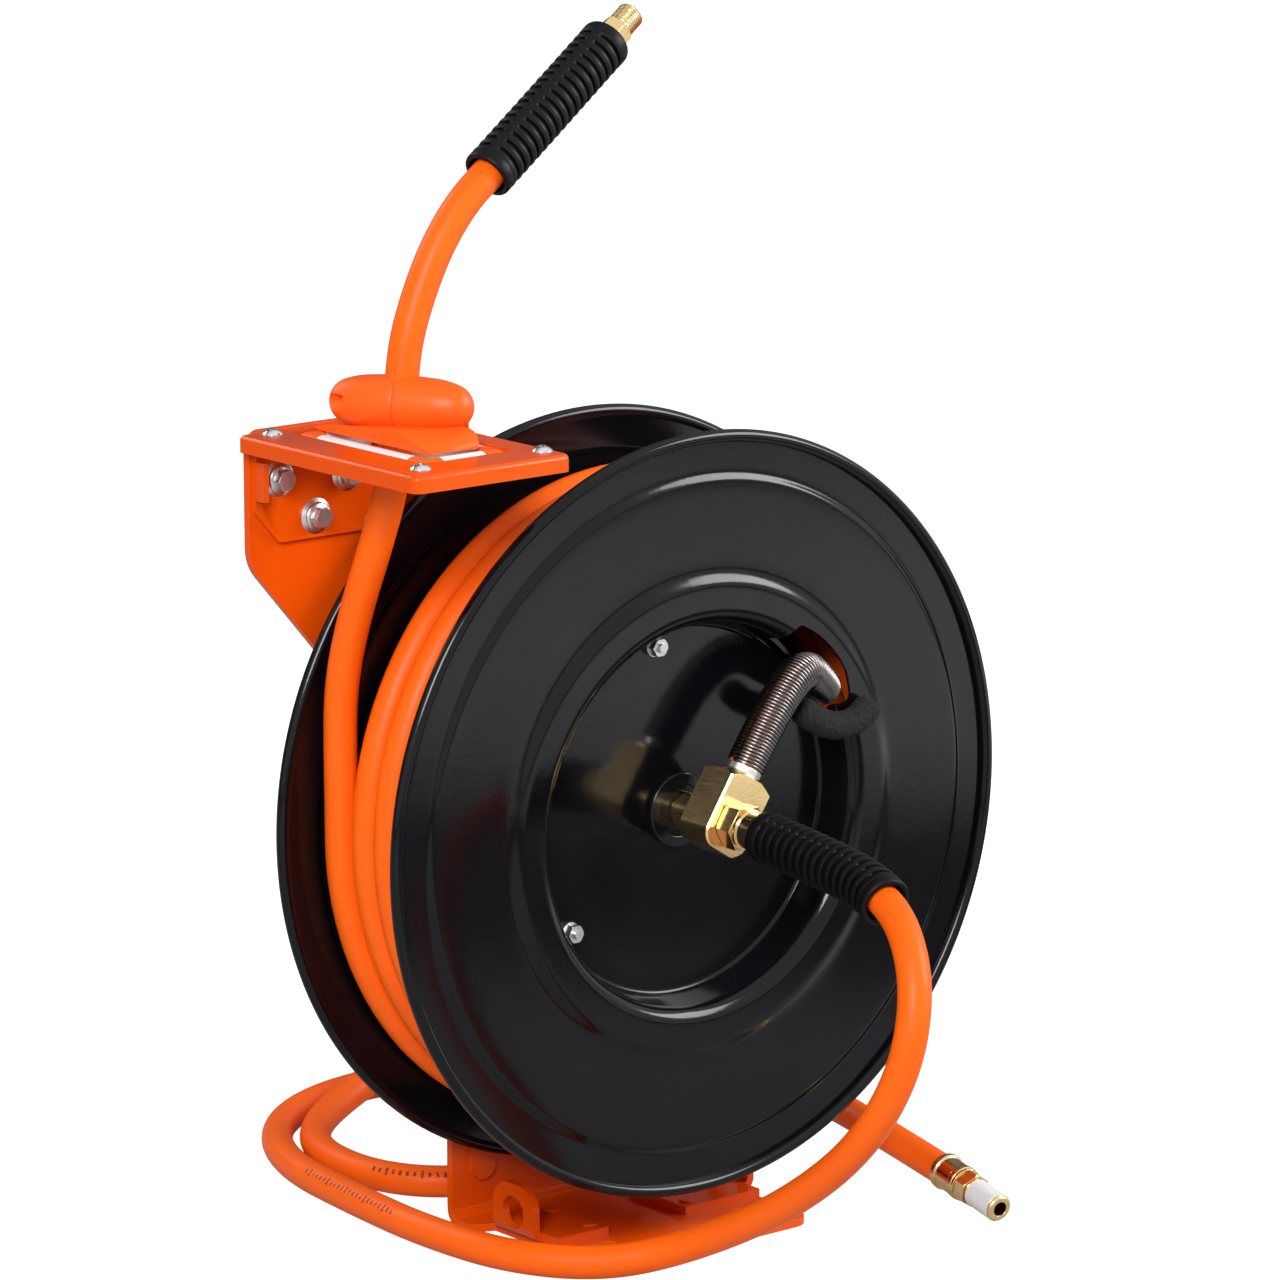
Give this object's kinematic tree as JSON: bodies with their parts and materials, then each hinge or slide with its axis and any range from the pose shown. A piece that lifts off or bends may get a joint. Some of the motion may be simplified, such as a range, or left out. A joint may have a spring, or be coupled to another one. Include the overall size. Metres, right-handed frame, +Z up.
{
  "type": "hose reel",
  "caption": "Open spring-rewind hose reel: black pressed drum on a bent orange arm, roller hose guide, hose stop, brass swivel with a spring-guarded hose, and a lead-in hose",
  "frame": {"origin": "On the underside of the foot, at the centre of the four mounting slots", "axes": "+Z up from the floor to the hose guide; Y along the drum's axle, -Y the open front of the drum with the swivel, +Y the arm; +X to the right seen from the front, the hose guide at -X"},
  "size_m": [0.38, 0.4847, 0.5875],
  "materials": {
    "orange_paint": "gloss",
    "black_paint": "gloss",
    "orange_hose": "satin",
    "orange_plastic": "satin",
    "white_plastic": "satin",
    "black_plastic": "gloss",
    "black_rubber": "matte",
    "black_foam": "matte",
    "brass": "polished",
    "zinc_steel": "satin",
    "chrome_steel": "polished",
    "spring_steel": "polished",
    "pale_alloy": "satin"
  },
  "bodies": {
    "frame": {"mount_arm": "orange_paint", "left_ear_bracket": "orange_paint", "right_ear_bracket": "orange_paint", "bracket_rivets": "orange_paint", "axle": "zinc_steel", "axle_bolts": "zinc_steel", "axle_nuts": "zinc_steel", "swivel_spindle": "brass", "swivel_seals": "black_rubber", "inlet_nut": "brass", "inlet_ferrule": "brass", "inlet_sleeve": "black_rubber", "lead_in_hose": "orange_hose", "lead_in_ferrule": "brass", "lead_in_plug": "brass", "thread_tape": "white_plastic", "guide_bracket": "orange_paint", "guide_bolts": "zinc_steel", "guide_nuts": "zinc_steel", "roller_pins": "zinc_steel", "guide_blocks": "orange_plastic", "guide_screws": "chrome_steel", "hose_run": "orange_hose", "stop_half_left": "orange_plastic", "stop_half_right": "orange_plastic", "stop_screws": "zinc_steel", "stop_bumper": "orange_plastic", "outlet_hose": "orange_hose", "outlet_sleeve": "black_rubber", "outlet_ferrule": "brass", "outlet_plug": "brass", "spring_arbor": "zinc_steel", "pawl_pin": "zinc_steel", "pawl_spring": "zinc_steel"},
    "drum": {"front_flange": "black_paint", "back_flange": "black_paint", "drum_core": "black_paint", "tie_spacers": "zinc_steel", "tie_bolts": "zinc_steel", "tie_nuts": "zinc_steel", "front_bush": "black_plastic", "back_bush": "black_plastic", "inner_winding": "orange_hose", "wound_hose": "orange_hose", "swivel_block": "brass", "guard_ferrule": "pale_alloy", "guard_spring": "spring_steel", "guard_hose": "orange_hose", "opening_trim": "black_foam", "spring_case": "black_paint", "spring_cover": "black_paint", "power_spring": "spring_steel", "ratchet_wheel": "zinc_steel", "ratchet_screws": "zinc_steel"},
    "pawl_body": {"pawl": "zinc_steel"},
    "left_roller_body": {"roller_left": "white_plastic"},
    "right_roller_body": {"roller_right": "white_plastic"},
    "front_roller_body": {"roller_front": "white_plastic"},
    "back_roller_body": {"roller_back": "white_plastic"}
  },
  "joints": [
    {"name": "drum_spin", "type": "hinge", "parent": "frame", "child": "drum", "pos_m": [0, 0, 0.211], "axis": [0, 1, 0], "continuous": true, "deforming": ["hose_run", "power_spring"]},
    {"name": "pawl_swing", "type": "hinge", "parent": "frame", "child": "pawl_body", "pos_m": [0.02, 0.03, 0.1445], "axis": [0, 1, 0], "range_deg": [0, 20], "stiffness_Nm_per_rad": 0.02},
    {"name": "left_roller_spin", "type": "hinge", "parent": "frame", "child": "left_roller_body", "pos_m": [-0.167, -0.006, 0.3968], "axis": [0, 1, 0], "continuous": true},
    {"name": "right_roller_spin", "type": "hinge", "parent": "frame", "child": "right_roller_body", "pos_m": [-0.128, -0.006, 0.3968], "axis": [0, 1, 0], "continuous": true},
    {"name": "front_roller_spin", "type": "hinge", "parent": "frame", "child": "front_roller_body", "pos_m": [-0.1475, -0.05, 0.3968], "axis": [1, 0, 0], "continuous": true},
    {"name": "back_roller_spin", "type": "hinge", "parent": "frame", "child": "back_roller_body", "pos_m": [-0.1475, 0.038, 0.3968], "axis": [1, 0, 0], "continuous": true}
  ]
}
